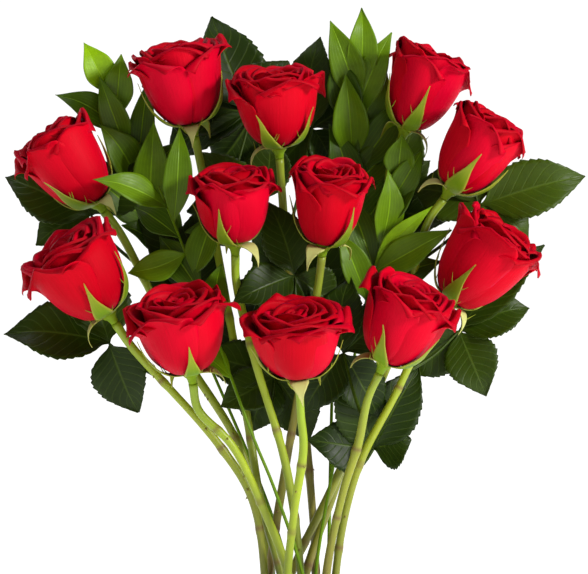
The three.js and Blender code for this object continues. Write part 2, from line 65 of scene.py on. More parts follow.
# at, lean, turn, size, tall, bunch and via as in the CAD source; open: how far the petals have opened;
# guards: where the outer petals stand, as (degrees round the bloom, sharpness of the tip);
# tone: 0 for a fresh yellow-green stem, 1 for an old brown one.
ROSES = {
    "a": dict(at=(-6.9, 1.6, 30.6), lean=(-12, 10), turn=36, size=1.07, tall=0.81, bunch=(-1.0, -0.4),
        via=((-2.3, -0.1, 5.7), (-3.2, 0.6, 11.0), (-5.0, 2.0, 21.0)), open=1.0, tone=0.1,
        guards=((238, 0.5), (315, 0.3), (20, 0.8), (100, 0.4), (172, 0.9))),
    "b": dict(at=(-1.2, -0.3, 29.1), lean=(-4, 14), turn=20, size=1.03, tall=0.76, bunch=(1.5, 2.6),
        via=((0.4, 2.2, 12.0), (-0.5, 1.6, 20.0)), open=1.0, tone=0.65,
        guards=((285, 0.2), (352, 0.6), (60, 0.5), (125, 0.4), (190, 0.9))),
    "c": dict(at=(7.2, 2.4, 30.4), lean=(22, 8), turn=45, size=0.93, tall=0.83, bunch=(0.4, 1.5),
        via=((2.9, 1.9, 8.0), (5.6, 3.2, 20.0)), open=0.8, tone=0.45,
        guards=((255, 0.3), (330, 0.9), (45, 0.6), (120, 0.3), (180, 0.5))),
    "d": dict(at=(-13.1, 0.6, 25.5), lean=(-36, 10), turn=68, size=0.95, tall=0.88, bunch=(-1.9, 1.8),
        via=((-3.5, 1.4, 8.8), (-7.8, 1.4, 16.0)), open=0.9, tone=0.2,
        guards=((225, 0.9), (300, 0.2), (15, 0.5), (90, 0.7), (165, 0.8))),
    "e": dict(at=(10.0, -0.9, 26.3), lean=(34, 12), turn=36, size=0.92, tall=0.85, bunch=(-0.8, 0.7),
        via=((2.4, 0.9, 7.0), (6.2, 0.9, 15.5)), open=0.7, tone=0.4,
        guards=((262, 0.2), (335, 0.7), (50, 0.4), (118, 0.3), (195, 0.3))),
    "f": dict(at=(-4.0, -3.1, 22.8), lean=(-2, 16), turn=13, size=0.92, tall=0.72, bunch=(0.4, -0.3),
        via=((-0.7, -1.3, 8.2), (-2.7, -2.2, 15.1)), open=1.0, tone=0.05,
        guards=((248, 0.4), (322, 0.5), (28, 0.9), (100, 0.3), (172, 0.9))),
    "g": dict(at=(1.7, -2.9, 22.7), lean=(7, 20), turn=9, size=0.88, tall=0.8, bunch=(-2.3, 0.7),
        via=((-0.7, 0.3, 8.4), (0.3, -0.8, 14.0)), open=0.8, tone=0.95,
        guards=((272, 0.2), (345, 0.8), (60, 0.3), (130, 0.4), (200, 0.7))),
    "h": dict(at=(-12.2, -2.6, 18.3), lean=(-34, 14), turn=30, size=1.14, tall=0.84, bunch=(-2.4, -0.8),
        via=((-2.9, -1.0, 6.1), (-5.0, -1.3, 9.6)), open=1.1, tone=0.3,
        guards=((232, 0.9), (300, 0.3), (10, 0.6), (95, 0.8), (160, 1.0))),
    "i": dict(at=(-6.8, -5.1, 14.6), lean=(-11, 18), turn=44, size=1.13, tall=0.77, bunch=(-0.3, -1.75),
        via=((-2.2, -2.6, 5.7), (-4.2, -3.9, 9.8)), open=1.0, tone=0.12,
        guards=((245, 0.3), (318, 0.6), (25, 0.9), (105, 0.4), (175, 0.7))),
    "j": dict(at=(0.1, -6.3, 14.3), lean=(-3, 20), turn=36, size=1.09, tall=0.69, bunch=(-0.8, -2.9),
        via=((-0.2, -3.8, 5.4), (0.4, -5.0, 9.7)), open=1.1, tone=0.0,
        guards=((255, 0.2), (312, 0.3), (5, 1.0), (90, 0.4), (182, 0.8))),
    "k": dict(at=(5.6, -5.1, 15.2), lean=(24, 16), turn=20, size=1.0, tall=0.82, bunch=(2.1, -1.7),
        via=((2.9, -2.6, 6.5), (3.9, -3.5, 9.8)), open=0.9, tone=0.7,
        guards=((240, 0.2), (305, 0.5), (0, 0.8), (80, 0.6), (160, 0.6))),
    "l": dict(at=(10.0, -1.5, 19.0), lean=(38, 12), turn=20, size=1.06, tall=0.92, bunch=(2.85, -0.7),
        via=((3.8, -1.1, 7.8), (6.3, -1.0, 12.8)), open=1.0, tone=0.35,
        guards=((250, 0.4), (325, 0.9), (40, 0.8), (110, 0.5), (185, 0.4))),
}

# Each leaf: its rose, the height where it leaves the stem, where its leaflets meet, their width and tips.
ROSE_LEAVES = {
    "top_left": ("a", 24, (-3.0, 4.8, 31.4), 4.6,
        ((-5.6, 5.6, 38.0), (-0.6, 4.8, 34.9), (-5.4, 5.4, 27.9), (-10.4, 5.8, 33.4), (-9.0, 6.6, 28.6))),
    "top_right": ("b", 23, (1.0, 5.0, 30.4), 3.4,
        ((1.5, 5.6, 36.6), (4.8, 6.6, 33.4), (-2.0, 6.0, 27.2), (2.6, 5.8, 27.2), (-3.2, 5.6, 30.2))),
    "middle_top": ("b", 20, (-2.4, 3.0, 25.4), 3.2,
        ((-6.4, 3.4, 28.8), (-1.8, 4.2, 29.8), (-5.6, 3.8, 22.6), (-7.4, 4.4, 25.0))),
    "middle_right": ("c", 19, (5.4, 5.8, 25.0), 3.4,
        ((5.2, 6.6, 31.2), (8.8, 5.8, 28.4), (2.2, 6.8, 23.0), (8.0, 6.6, 31.4), (10.4, 5.2, 24.6))),
    "left_upper": ("d", 21.5, (-13.6, 3.2, 24.6), 3.8,
        ((-19.2, 3.0, 27.2), (-17.2, 2.6, 22.7), (-14.6, 4.4, 29.4), (-10.2, 3.6, 29.0))),
    "left_lower": ("h", 14.2, (-12.2, -0.2, 16.2), 4.3,
        ((-19.0, -0.6, 17.0), (-10.4, -0.6, 11.7), (-13.6, 1.8, 21.6))),
    "left_inner": ("d", 15.5, (-6.6, 2.8, 19.6), 3.2,
        ((-6.4, 3.2, 25.2), (-10.8, 2.6, 21.2), (-4.6, 2.4, 14.8), (-10.4, 2.8, 24.4), (-10.2, 3.2, 17.6))),
    "right_upper": ("e", 21.5, (12.0, 1.8, 25.2), 4.0,
        ((18.9, 1.8, 27.2), (15.4, 2.6, 23.0), (10.6, 3.2, 29.6), (7.6, 3.4, 26.4))),
    "right_lower": ("l", 14.5, (10.6, 1.2, 17.0), 3.6,
        ((12.3, 0.2, 12.8), (16.1, 1.8, 22.8), (7.0, 1.6, 14.2), (15.2, 1.6, 18.6))),
    "low_right": ("l", 8.2, (5.0, 0.7, 9.3), 3.8,
        ((8.0, 0.7, 14.6), (0.8, -1.3, 10.0), (2.6, -1.4, 14.6), (7.4, 0.4, 10.0))),
    "centre": ("g", 17, (-0.2, -1.4, 20.6), 3.3,
        ((-4.0, -3.6, 19.0), (-1.8, -0.6, 25.4), (-2.0, -0.8, 16.8), (2.6, -0.2, 18.6))),
    "centre_right": ("k", 11.5, (3.0, -1.8, 15.6), 3.4,
        ((3.4, -0.8, 20.6), (6.6, -1.2, 19.0), (0.4, -1.6, 11.8), (5.4, -0.6, 11.4))),
    "low_middle": ("f", 12, (-1.4, 0.8, 14.0), 3.4,
        ((0.8, 1.0, 9.8), (-4.9, -0.9, 12.2), (-2.6, 1.4, 19.0), (-6.4, 0.8, 15.4), (-3.0, 1.2, 10.4))),
    "back": ("b", 13, (0.4, 4.4, 17.0), 3.8,
        ((-4.0, 5.4, 20.4), (3.8, 3.0, 21.2), (0.0, 5.6, 11.6), (-2.8, 5.4, 24.2), (2.2, 5.2, 24.4),
        (5.6, 5.0, 17.6))),
}

# Each sprig: bunch, via, tip, leaves as (height on the stem, x, y, z of the tip, width, how lit it looks:
# painted light and shade between the shaded and the lit green).
RUSCUS = {
    "left_top": ((-0.4, 2.7), ((-7.6, 4.6, 19.0), (-11.0, 4.2, 28.0)), (-12.6, 4.2, 33.2),
        ((32.6, -14.0, 3.4, 36.0, 1.7, 1.0), (31, -11.6, 3.4, 35.2, 1.6, 0.5),
        (30, -15.8, 2.8, 32.6, 1.7, 0.3), (28.6, -13.0, 2.6, 33.6, 1.5, 0.3),
        (27, -9.9, 4.2, 33.6, 1.4, 0.2), (26, -8.0, 3.0, 29.4, 1.8, 0.4),
        (24, -13.2, 2.4, 27.0, 1.9, 0.3), (22, -8.8, 2.8, 26.6, 1.8, 0.2),
        (26.4, -12.8, 2.2, 30.5, 2.0, 0.35), (24.6, -9.4, 2.0, 30.6, 1.9, 0.5),
        (22.6, -11.4, 2.6, 24.0, 1.7, 0.15), (20.4, -5.8, 2.4, 24.6, 1.7, 0.2))),
    "right_top": ((2.4, 1.8), ((2.6, 5.0, 19.0), (3.6, 4.8, 28.0)), (4.2, 4.6, 34.0),
        ((33, 4.3, 3.8, 38.3, 1.6, 0.6), (32, 2.2, 3.6, 37.4, 1.8, 0.5),
        (31, 6.2, 3.8, 36.7, 1.7, 0.6), (29.6, 5.7, 4.8, 35.4, 1.8, 0.4),
        (28.2, 3.2, 3.0, 33.8, 1.9, 0.5), (26.4, 6.8, 4.2, 30.4, 2.0, 0.3),
        (24, 1.0, 3.4, 27.8, 1.9, 0.2), (22, 6.4, 3.6, 26.8, 2.0, 0.3),
        (30.4, 2.6, 3.8, 35.4, 1.8, 0.2), (27.4, 7.2, 3.8, 32.6, 1.9, 0.2), (25, 2.2, 3.8, 30.6, 1.9, 0.15),
        (23, 7.6, 3.6, 28.2, 1.9, 0.2))),
    "right_mid": ((1.3, -0.8), ((2.2, -0.1, 7.4), (4.6, 0.4, 19.4)), (6.6, 0.4, 27.2),
        ((26.8, 6.8, -0.2, 29.7, 1.6, 0.4), (25.4, 8.1, -0.2, 28.7, 1.4, 0.3),
        (22.4, 6.0, -0.8, 27.4, 1.6, 0.5), (21.2, 8.7, -1.3, 25.0, 1.0, 0.8),
        (20.8, 9.8, -1.8, 23.6, 1.8, 0.5), (19, 2.8, -0.6, 23.4, 1.6, 0.4),
        (17, 6.6, -0.8, 20.4, 1.5, 0.5), (23.6, 8.0, 0.6, 27.4, 1.7, 0.15),
        (19.6, 9.4, 0.4, 21.6, 1.8, 0.15), (21, 3.2, 0.8, 26.0, 1.7, 0.15))),
    "left_mid": (
        (0.75, -1.75), ((-1.4, -2.2, 6.7), (-2.9, -2.4, 10.4), (-7.2, -0.8, 22.0)), (-9.0, 0.2, 26.4),
        ((25, -12.9, -2.8, 26.9, 1.7, 0.5), (24, -7.6, -0.6, 30.2, 1.5, 0.4),
        (22, -11.0, -0.6, 20.8, 1.6, 0.6), (20.6, -5.4, -0.6, 24.6, 1.7, 0.4),
        (17, -5.0, -0.8, 21.4, 1.6, 0.4), (14, -7.2, -0.6, 16.6, 1.6, 0.7),
        (23, -10.6, 0.6, 25.2, 1.7, 0.1), (19.4, -9.0, 0.4, 23.2, 1.7, 0.15),
        (18, -9.6, -0.4, 17.4, 1.6, 0.2))),
}

# ---------------------------------------------------------------- geometry helpers


def place(p):
    return np.array([p[0] * GRID, p[1] * GRID, VASE_HEIGHT + p[2] * GRID])


def unit(v):
    return v / (np.linalg.norm(v, axis=-1, keepdims=True) + 1e-12)


def smooth(x, low, high):
    t = np.clip((x - low) / (high - low), 0, 1)
    return t * t * (3 - 2 * t)


def through(points, per=24):
    """The smooth curve through points that the CAD stems follow (centripetal Catmull-Rom)."""
    p = np.asarray(points, float)
    wide = np.vstack([2 * p[0] - p[1], p, 2 * p[-1] - p[-2]])
    t = np.linspace(0, 1, per, endpoint=False)[:, None]
    out = []
    for i in range(len(p) - 1):
        p0, p1, p2, p3 = wide[i:i + 4]
        d0, d1, d2 = (max(np.linalg.norm(b - a) ** 0.5, 1e-4) for a, b in ((p0, p1), (p1, p2), (p2, p3)))
        t1 = ((p1 - p0) / d0 - (p2 - p0) / (d0 + d1) + (p2 - p1) / d1) * d1
        t2 = ((p2 - p1) / d1 - (p3 - p1) / (d1 + d2) + (p3 - p2) / d2) * d1
        c2 = 3 * (p2 - p1) - 2 * t1 - t2
        c3 = 2 * (p1 - p2) + t1 + t2
        out.append(p1 + t1 * t + c2 * t ** 2 + c3 * t ** 3)
    out.append(p[-1:])
    return np.vstack(out)


def even(points, count):
    """The same curve with count points at even distances."""
    step = np.linalg.norm(np.diff(points, axis=0), axis=1)
    along = np.concatenate([[0], np.cumsum(step)])
    want = np.linspace(0, along[-1], count)
    return np.stack([np.interp(want, along, points[:, k]) for k in range(points.shape[1])], -1)


def frames(points):
    """Tangent and two directions across, which don't twist along the curve."""
    tangent = unit(np.gradient(points, axis=0))
    first = np.cross(tangent[0], [0.0, 1.0, 0.0])
    if np.linalg.norm(first) < 0.1:
        first = np.cross(tangent[0], [1.0, 0.0, 0.0])
    side = [unit(first)]
    for t in tangent[1:]:
        s = side[-1] - t * (side[-1] @ t)
        side.append(unit(s))
    side = np.array(side)
    return tangent, side, np.cross(tangent, side)


class Parts:
    """Closed skins that together make one piece, with their values per point."""

    def __init__(self):
        self.points, self.faces, self.values, self.count = [], [], {}, 0

    def add(self, points, faces, **values):
        self.points.append(np.asarray(points, float).reshape(-1, 3))
        n = len(self.points[-1])
        self.faces.extend(np.asarray(f, int) + self.count for f in faces)
        for key, value in values.items():
            value = np.asarray(value, float)
            self.values.setdefault(key, []).append(np.broadcast_to(value, (n, 3)))
        self.count += n

    def build(self, name, material, nodes=()):
        mesh = bpy.data.meshes.new(name)
        points = np.vstack(self.points) * MM
        loops = np.concatenate([f.ravel() for f in self.faces])
        sizes = np.concatenate([np.full(len(f), f.shape[1]) for f in self.faces])
        mesh.vertices.add(len(points))
        mesh.vertices.foreach_set("co", points.astype(np.float32).ravel())
        mesh.loops.add(len(loops))
        mesh.loops.foreach_set("vertex_index", loops.astype(np.int32))
        mesh.polygons.add(len(sizes))
        starts = np.concatenate([[0], np.cumsum(sizes)[:-1]])
        mesh.polygons.foreach_set("loop_start", starts.astype(np.int32))
        mesh.update(calc_edges=True)
        mesh.validate()
        mesh.polygons.foreach_set("use_smooth", np.ones(len(mesh.polygons), bool))
        for key, value in self.values.items():
            attribute = mesh.attributes.new(key, "FLOAT_VECTOR", "POINT")
            attribute.data.foreach_set("vector", np.vstack(value).astype(np.float32).ravel())
        obj = bpy.data.objects.new(name, mesh)
        bpy.context.scene.collection.objects.link(obj)
        mesh.materials.append(material)
        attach(obj, "root")
        if nodes:
            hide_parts(*nodes)
        return obj


def skin(grid, thick):
    """A closed thin skin over a grid of points (across, along, 3), and which side each point is on."""
    nu, nv = grid.shape[:2]
    normal = unit(np.cross(np.gradient(grid, axis=0), np.gradient(grid, axis=1)))
    half = np.broadcast_to(thick, (nu, nv))[..., None] / 2
    points = np.concatenate([(grid + normal * half).reshape(-1, 3), (grid - normal * half).reshape(-1, 3)])
    i = np.arange(nu * nv).reshape(nu, nv)
    front = np.stack([i[:-1, :-1], i[1:, :-1], i[1:, 1:], i[:-1, 1:]], -1).reshape(-1, 4)
    back = front[:, ::-1] + nu * nv
    a = np.concatenate([i[:-1, 0], i[-1, :-1], i[:0:-1, -1], i[0, :0:-1]])
    b = np.roll(a, -1)
    walls = np.stack([b, a, a + nu * nv, b + nu * nv], -1)
    top = np.repeat([1.0, 0.0], nu * nv)
    return points, [front, back, walls], top


def tube(points, radii, sides):
    """A closed round rod, capped flat at both ends."""
    points = np.asarray(points, float)
    _, s, n = frames(points)
    radii = np.broadcast_to(radii, len(points)).astype(float)
    angle = np.linspace(0, 2 * math.pi, sides, endpoint=False)
    ring = s[:, None] * np.cos(angle)[None, :, None] + n[:, None] * np.sin(angle)[None, :, None]
    body = points[:, None] + ring * radii[:, None, None]
    count = len(points)
    all_points = np.concatenate([body.reshape(-1, 3), points[:1], points[-1:]])
    i = np.arange(count * sides).reshape(count, sides)
    j = np.roll(i, -1, axis=1)
    walls = np.stack([i[:-1], j[:-1], j[1:], i[1:]], -1).reshape(-1, 4)
    first = np.stack([np.full(sides, count * sides), j[0], i[0]], -1)
    last = np.stack([np.full(sides, count * sides + 1), i[-1], j[-1]], -1)
    along = np.linspace(0, 1, count).repeat(sides)
    along = np.concatenate([along, [0, 1]])
    turn = np.concatenate([np.tile(angle, count), [0, 0]])
    return all_points, [walls, first, last], along, turn


def lathe(profile, sides):
    """A closed skin of revolution about Z from [radius, height] points that start and end on the axis."""
    profile = np.asarray(profile, float)
    inner = profile[1:-1]
    angle = np.linspace(0, 2 * math.pi, sides, endpoint=False)
    ring = np.stack([np.cos(angle), np.sin(angle)], -1)
    body = np.concatenate([inner[:, None, :1] * ring[None], np.repeat(inner[:, None, 1:], sides, 1)], -1)
    n = len(inner) * sides
    ends = np.array([[0, 0, profile[0, 1]], [0, 0, profile[-1, 1]]])
    i = np.arange(n).reshape(len(inner), sides)
    j = np.roll(i, -1, axis=1)
    walls = np.stack([i[:-1], j[:-1], j[1:], i[1:]], -1).reshape(-1, 4)
    first = np.stack([np.full(sides, n), j[0], i[0]], -1)
    last = np.stack([np.full(sides, n + 1), i[-1], j[-1]], -1)
    return np.concatenate([body.reshape(-1, 3), ends]), [walls, first, last]


# ---------------------------------------------------------------- materials


class Nodes:
    """A material's node tree, with short calls for the nodes used here."""

    def __init__(self, name):
        self.material = bpy.data.materials.new(name)
        self.material.use_nodes = True
        self.tree = self.material.node_tree
        self.shader = self.tree.nodes["Principled BSDF"]

    def node(self, kind, inputs=(), **settings):
        made = self.tree.nodes.new(kind)
        for key, value in settings.items():
            setattr(made, key, value)
        for key, value in dict(inputs).items():
            self.put(made.inputs[key], value)
        return made

    def put(self, socket, value):
        if isinstance(value, bpy.types.NodeSocket):
            self.tree.links.new(value, socket)
        else:
            socket.default_value = value

    def set(self, **values):
        for key, value in values.items():
            self.put(self.shader.inputs[key.replace("_", " ")], value)

    def attribute(self, name):
        return self.node("ShaderNodeAttribute", attribute_name=name).outputs["Vector"]

    def parts(self, vector):
        return self.node("ShaderNodeSeparateXYZ", {0: vector}).outputs

    def math(self, operation, a, b=0.0, c=0.0):
        return self.node("ShaderNodeMath", {0: a, 1: b, 2: c}, operation=operation).outputs[0]

    def scaled(self, vector, scale):
        return self.node("ShaderNodeVectorMath", {0: vector, 1: scale}, operation="MULTIPLY").outputs[0]

    def noise(self, vector, scale, detail=3.0, rough=0.5):
        inputs = {"Vector": vector, "Scale": scale, "Detail": detail, "Roughness": rough}
        return self.node("ShaderNodeTexNoise", inputs).outputs["Fac"]

    def ramp(self, factor, *stops):
        made = self.node("ShaderNodeValToRGB", {"Fac": factor})
        elements = made.color_ramp.elements
        while len(elements) < len(stops):
            elements.new(0.5)
        for element, (at, colour) in zip(elements, stops):
            element.position = at
            element.color = (*colour, 1) if len(colour) == 3 else colour
        return made.outputs["Color"]

    def mix(self, factor, a, b, blend="MIX"):
        made = self.node("ShaderNodeMix", data_type="RGBA", blend_type=blend)
        self.put(made.inputs[0], factor)
        self.put(made.inputs[6], a if isinstance(a, bpy.types.NodeSocket) else (*a, 1))
        self.put(made.inputs[7], b if isinstance(b, bpy.types.NodeSocket) else (*b, 1))
        return made.outputs[2]

    def bump(self, height, strength, distance, normal=None):
        inputs = {"Height": height, "Strength": strength, "Distance": distance}
        if normal is not None:
            inputs["Normal"] = normal
        return self.node("ShaderNodeBump", inputs).outputs["Normal"]

    def place(self):
        return self.node("ShaderNodeTexCoord").outputs["Object"]


def petal_material():
    """Red velvet: fine veins that fan out along the petal, painted shade that darkens the claw, a darker
    rim and darker blotches, a pink sheen.
    """
    m = Nodes("petal_red")
    grid = m.attribute("petal")
    _, along, chance = m.parts(grid)
    fan = m.noise(m.scaled(grid, (34.0, 2.2, 17.0)), 1.0, 2.0)
    blotch = m.noise(m.place(), 70.0, 2.0)
    # painted shade: the red darkens towards the claw, deep inside the bloom; the darker rim is the petal's
    # own colour
    base = m.ramp(along, (0.0, (0.18, 0.0, 0.001)), (0.3, (0.40, 0.0, 0.005)),
                  (0.75, (0.50, 0.0, 0.007)), (0.93, (0.50, 0.0, 0.006)), (1.0, (0.24, 0.0, 0.002)))
    tone = m.ramp(chance, (0.0, (0.72, 0.70, 0.50)), (0.55, (0.98, 0.9, 0.9)), (1.0, (1.15, 1.0, 3.4)))
    base = m.mix(1.0, base, tone, "MULTIPLY")
    base = m.mix(m.math("MULTIPLY", blotch, 0.4), base, (0.34, 0.0, 0.004))
    base = m.mix(m.math("MULTIPLY", fan, 0.3), base, (0.74, 0.0, 0.024))
    veins = m.bump(fan, 0.35, 0.0006)
    down = m.bump(m.noise(m.place(), 1500.0, 2.0), 0.18, 0.0002, veins)
    m.set(Base_Color=base, Roughness=0.5, Normal=down, Specular_IOR_Level=0.05,
          Sheen_Weight=0.08, Sheen_Roughness=0.4, Sheen_Tint=(1.0, 0.02, 0.30, 1))
    return m.material


def leaf_material(name, shaded_green, light, under, veins, lateral, rough):
    """A leaf blade: midrib and side veins, mottled blade, paler underside. Painted light and shade: each
    leaf's share sets its colour between a shaded dark green and a lit light green.
    """
    m = Nodes(name)
    across, along, share = m.parts(m.attribute("leaf"))
    top, _, _ = m.parts(m.attribute("side"))
    width = m.math("ABSOLUTE", across)
    shear = m.math("SUBTRACT", m.math("MULTIPLY", along, lateral[0]), m.math("MULTIPLY", width, lateral[1]))
    wave = m.math("ABSOLUTE", m.math("SUBTRACT", m.math("FRACT", shear), 0.5))
    side_vein = m.math("SUBTRACT", 1.0, m.math("MULTIPLY", wave, 9.0))
    side_vein = m.math("MAXIMUM", side_vein, 0.0)
    midrib = m.math("MAXIMUM", m.math("SUBTRACT", 1.0, m.math("MULTIPLY", width, 16.0)), 0.0)
    line = m.math("MAXIMUM", m.math("MULTIPLY", side_vein, veins), midrib)
    mottle = m.noise(m.place(), 160.0, 4.0, 0.6)
    patch = m.noise(m.place(), 38.0, 2.0)
    # painted light and shade: the per-leaf share moves the colour from the shaded dark green to the lit
    # green
    blade = m.mix(m.math("POWER", share, 1.6), shaded_green, light)
    blade = m.mix(m.math("MULTIPLY", mottle, 0.55), blade, tuple(c * 0.35 for c in shaded_green))
    blade = m.mix(m.math("MULTIPLY", patch, 0.16), blade, light)
    blade = m.mix(m.math("MULTIPLY", line, 0.40), blade, tuple(min(1, 1.3 * c + 0.01) for c in light))
    blade = m.mix(m.math("SUBTRACT", 1.0, top), blade, under)
    height = m.math("ADD", m.math("MULTIPLY", line, -0.8), m.math("MULTIPLY", mottle, 0.3))
    gloss = m.math("ADD", m.math("MULTIPLY", mottle, 0.22), rough)
    m.set(Base_Color=blade, Roughness=gloss, Normal=m.bump(height, 0.5, 0.0006),
          Specular_IOR_Level=0.16)
    return m.material


def stem_material():
    """Smooth green bark that turns olive and brown, with fine streaks and small scars."""
    m = Nodes("rose_stem")
    along, _, tone = m.parts(m.attribute("stem"))
    low, _, _ = m.parts(m.attribute("bark"))
    streak = m.noise(m.scaled(m.place(), (260.0, 260.0, 22.0)), 1.0, 4.0, 0.6)
    patch = m.noise(m.scaled(m.place(), (60.0, 60.0, 16.0)), 1.0, 2.0)
    green = m.ramp(along, (0.0, (0.10, 0.13, 0.010)), (0.55, (0.20, 0.26, 0.008)),
                   (0.80, (0.34, 0.44, 0.008)), (1.0, (0.26, 0.40, 0.010)))
    brown = m.ramp(streak, (0.25, (0.10, 0.045, 0.012)), (0.7, (0.26, 0.15, 0.035)))
    share = m.math("MULTIPLY", m.math("ADD", patch, 0.15), tone)
    share = m.math("MULTIPLY", share, m.math("SUBTRACT", 1.35, along))
    bark = m.mix(m.math("MULTIPLY", share, 1.6), green, brown)
    bark = m.mix(m.math("MULTIPLY", streak, 0.35), bark, (0.07, 0.10, 0.008))
    bark = m.mix(low, bark, (0.13, 0.06, 0.02))
    m.set(Base_Color=bark, Roughness=0.42, Normal=m.bump(streak, 0.25, 0.0005), Specular_IOR_Level=0.4)
    return m.material


def sepal_material():
    """Yellow-green sepals with pale cream-orange margins, and the green hip."""
    m = Nodes("sepal_green")
    across, along, _ = m.parts(m.attribute("leaf"))
    top, cream, _ = m.parts(m.attribute("side"))
    width = m.math("ABSOLUTE", across)
    streak = m.noise(m.scaled(m.attribute("leaf"), (14.0, 3.0, 9.0)), 1.0, 3.0)
    green = m.ramp(along, (0.0, (0.22, 0.34, 0.004)), (0.4, (0.15, 0.27, 0.004)), (1.0, (0.36, 0.32, 0.03)))
    green = m.mix(m.math("MULTIPLY", streak, 0.5), green, (0.05, 0.12, 0.002))
    margin = m.math("MULTIPLY", m.math("SUBTRACT", width, 0.62), 2.6)
    margin = m.math("MINIMUM", m.math("MAXIMUM", margin, 0.0), 0.85)
    green = m.mix(margin, green, (0.30, 0.30, 0.03))
    inside = m.mix(cream, (0.16, 0.24, 0.02), (0.44, 0.46, 0.15))
    colour = m.mix(m.math("SUBTRACT", 1.0, top), green, inside)
    m.set(Base_Color=colour, Roughness=0.5, Normal=m.bump(streak, 0.3, 0.0005), Specular_IOR_Level=0.15)
    return m.material


def glass_material(name, colour, ior, edge):
    """Clear glass or water, with the faintest waviness."""
    m = Nodes(name)
    wavy = m.noise(m.place(), 9.0, 1.0)
    facing = m.node("ShaderNodeLayerWeight", {"Blend": 0.5}).outputs["Facing"]
    tint = m.ramp(facing, (0.45, colour), (0.75, tuple(c * edge * 1.8 for c in colour)),
                  (0.95, tuple(c * edge for c in colour)))
    m.set(Base_Color=tint, Roughness=0.0, IOR=ior, Transmission_Weight=1.0,
          Normal=m.bump(wavy, 0.03, 0.002))
    return m.material


def floor_material():
    m = Nodes("floor_pale")
    grain = m.noise(m.place(), 40.0, 4.0)
    far = m.node("ShaderNodeVectorMath", {0: m.place()}, operation="LENGTH").outputs["Value"]
    glow = m.node("ShaderNodeMapRange", {"Value": far, "From Min": 0.3, "From Max": 3.0, "To Min": 0.80,
                                         "To Max": 1.05}).outputs["Result"]
    m.set(Base_Color=m.mix(grain, (0.80, 0.80, 0.81), (0.84, 0.84, 0.84)), Roughness=0.85,
          Emission_Color=(1, 1, 1, 1), Emission_Strength=glow, Specular_IOR_Level=0.1)
    return m.material


PETAL = petal_material()
# the first two colours of each leaf material are a shaded and a lit green: painted shade and painted light
ROSE_LEAF = leaf_material("rose_leaf_green", (0.006, 0.018, 0.0004), (0.060, 0.105, 0.0015),
                          (0.060, 0.095, 0.012), 0.5, (9.0, 2.4), 0.33)
RUSCUS_LEAF = leaf_material("ruscus_green", (0.014, 0.044, 0.001), (0.26, 0.48, 0.002),
                            (0.07, 0.14, 0.006), 0.25, (1.0, 5.0), 0.30)
STEM = stem_material()
SEPAL = sepal_material()
GLASS = glass_material("vase_glass", (0.93, 0.97, 0.955), 1.46, 0.38)
WATER = glass_material("vase_water", (0.97, 0.995, 0.985), 1.33, 0.5)

# ---------------------------------------------------------------- roses


def bloom_axis(rose):
    right, front = (math.radians(x) for x in rose["lean"])
    return unit(np.array([math.tan(right), -math.tan(front), 1.0]))


def bloom_frame(rose):
    """Columns: the bloom's own X, Y and Z, turned as the CAD turns them (shortest arc from +Z)."""
    z = bloom_axis(rose)
    v = np.cross([0.0, 0.0, 1.0], z)
    c = z[2]
    k = np.array([[0, -v[2], v[1]], [v[2], 0, -v[0]], [-v[1], v[0], 0]])
    return np.eye(3) + k + k @ k / (1 + c)


def seated(points, rose):
    return points @ bloom_frame(rose).T + place(rose["at"])


def bunch_points(bunch, diameter):
    rim = np.array([bunch[0] * PITCH, bunch[1] * PITCH, VASE_HEIGHT])
    c, s = math.cos(BUNCH_TWIST), math.sin(BUNCH_TWIST)
    foot = np.array([rim[0] * c - rim[1] * s, rim[0] * s + rim[1] * c, 0]) * BUNCH_SPREAD
    run = math.hypot(*(rim - foot)[:2])
    foot[2] = VASE_FLOOR + diameter / 2 * math.sin(math.atan2(run, VASE_HEIGHT - VASE_FLOOR)) + GAP
    return [foot, (foot + rim) / 2, rim]


def stem_curve(rose):
    axis = bloom_axis(rose)
    top = place(rose["at"]) - axis * (HIP_HEIGHT + GAP)
    under = top - axis * HIP_HEIGHT * 2
    return through([*bunch_points(rose["bunch"], STEM_DIAMETER), *map(place, rose["via"]), under, top])


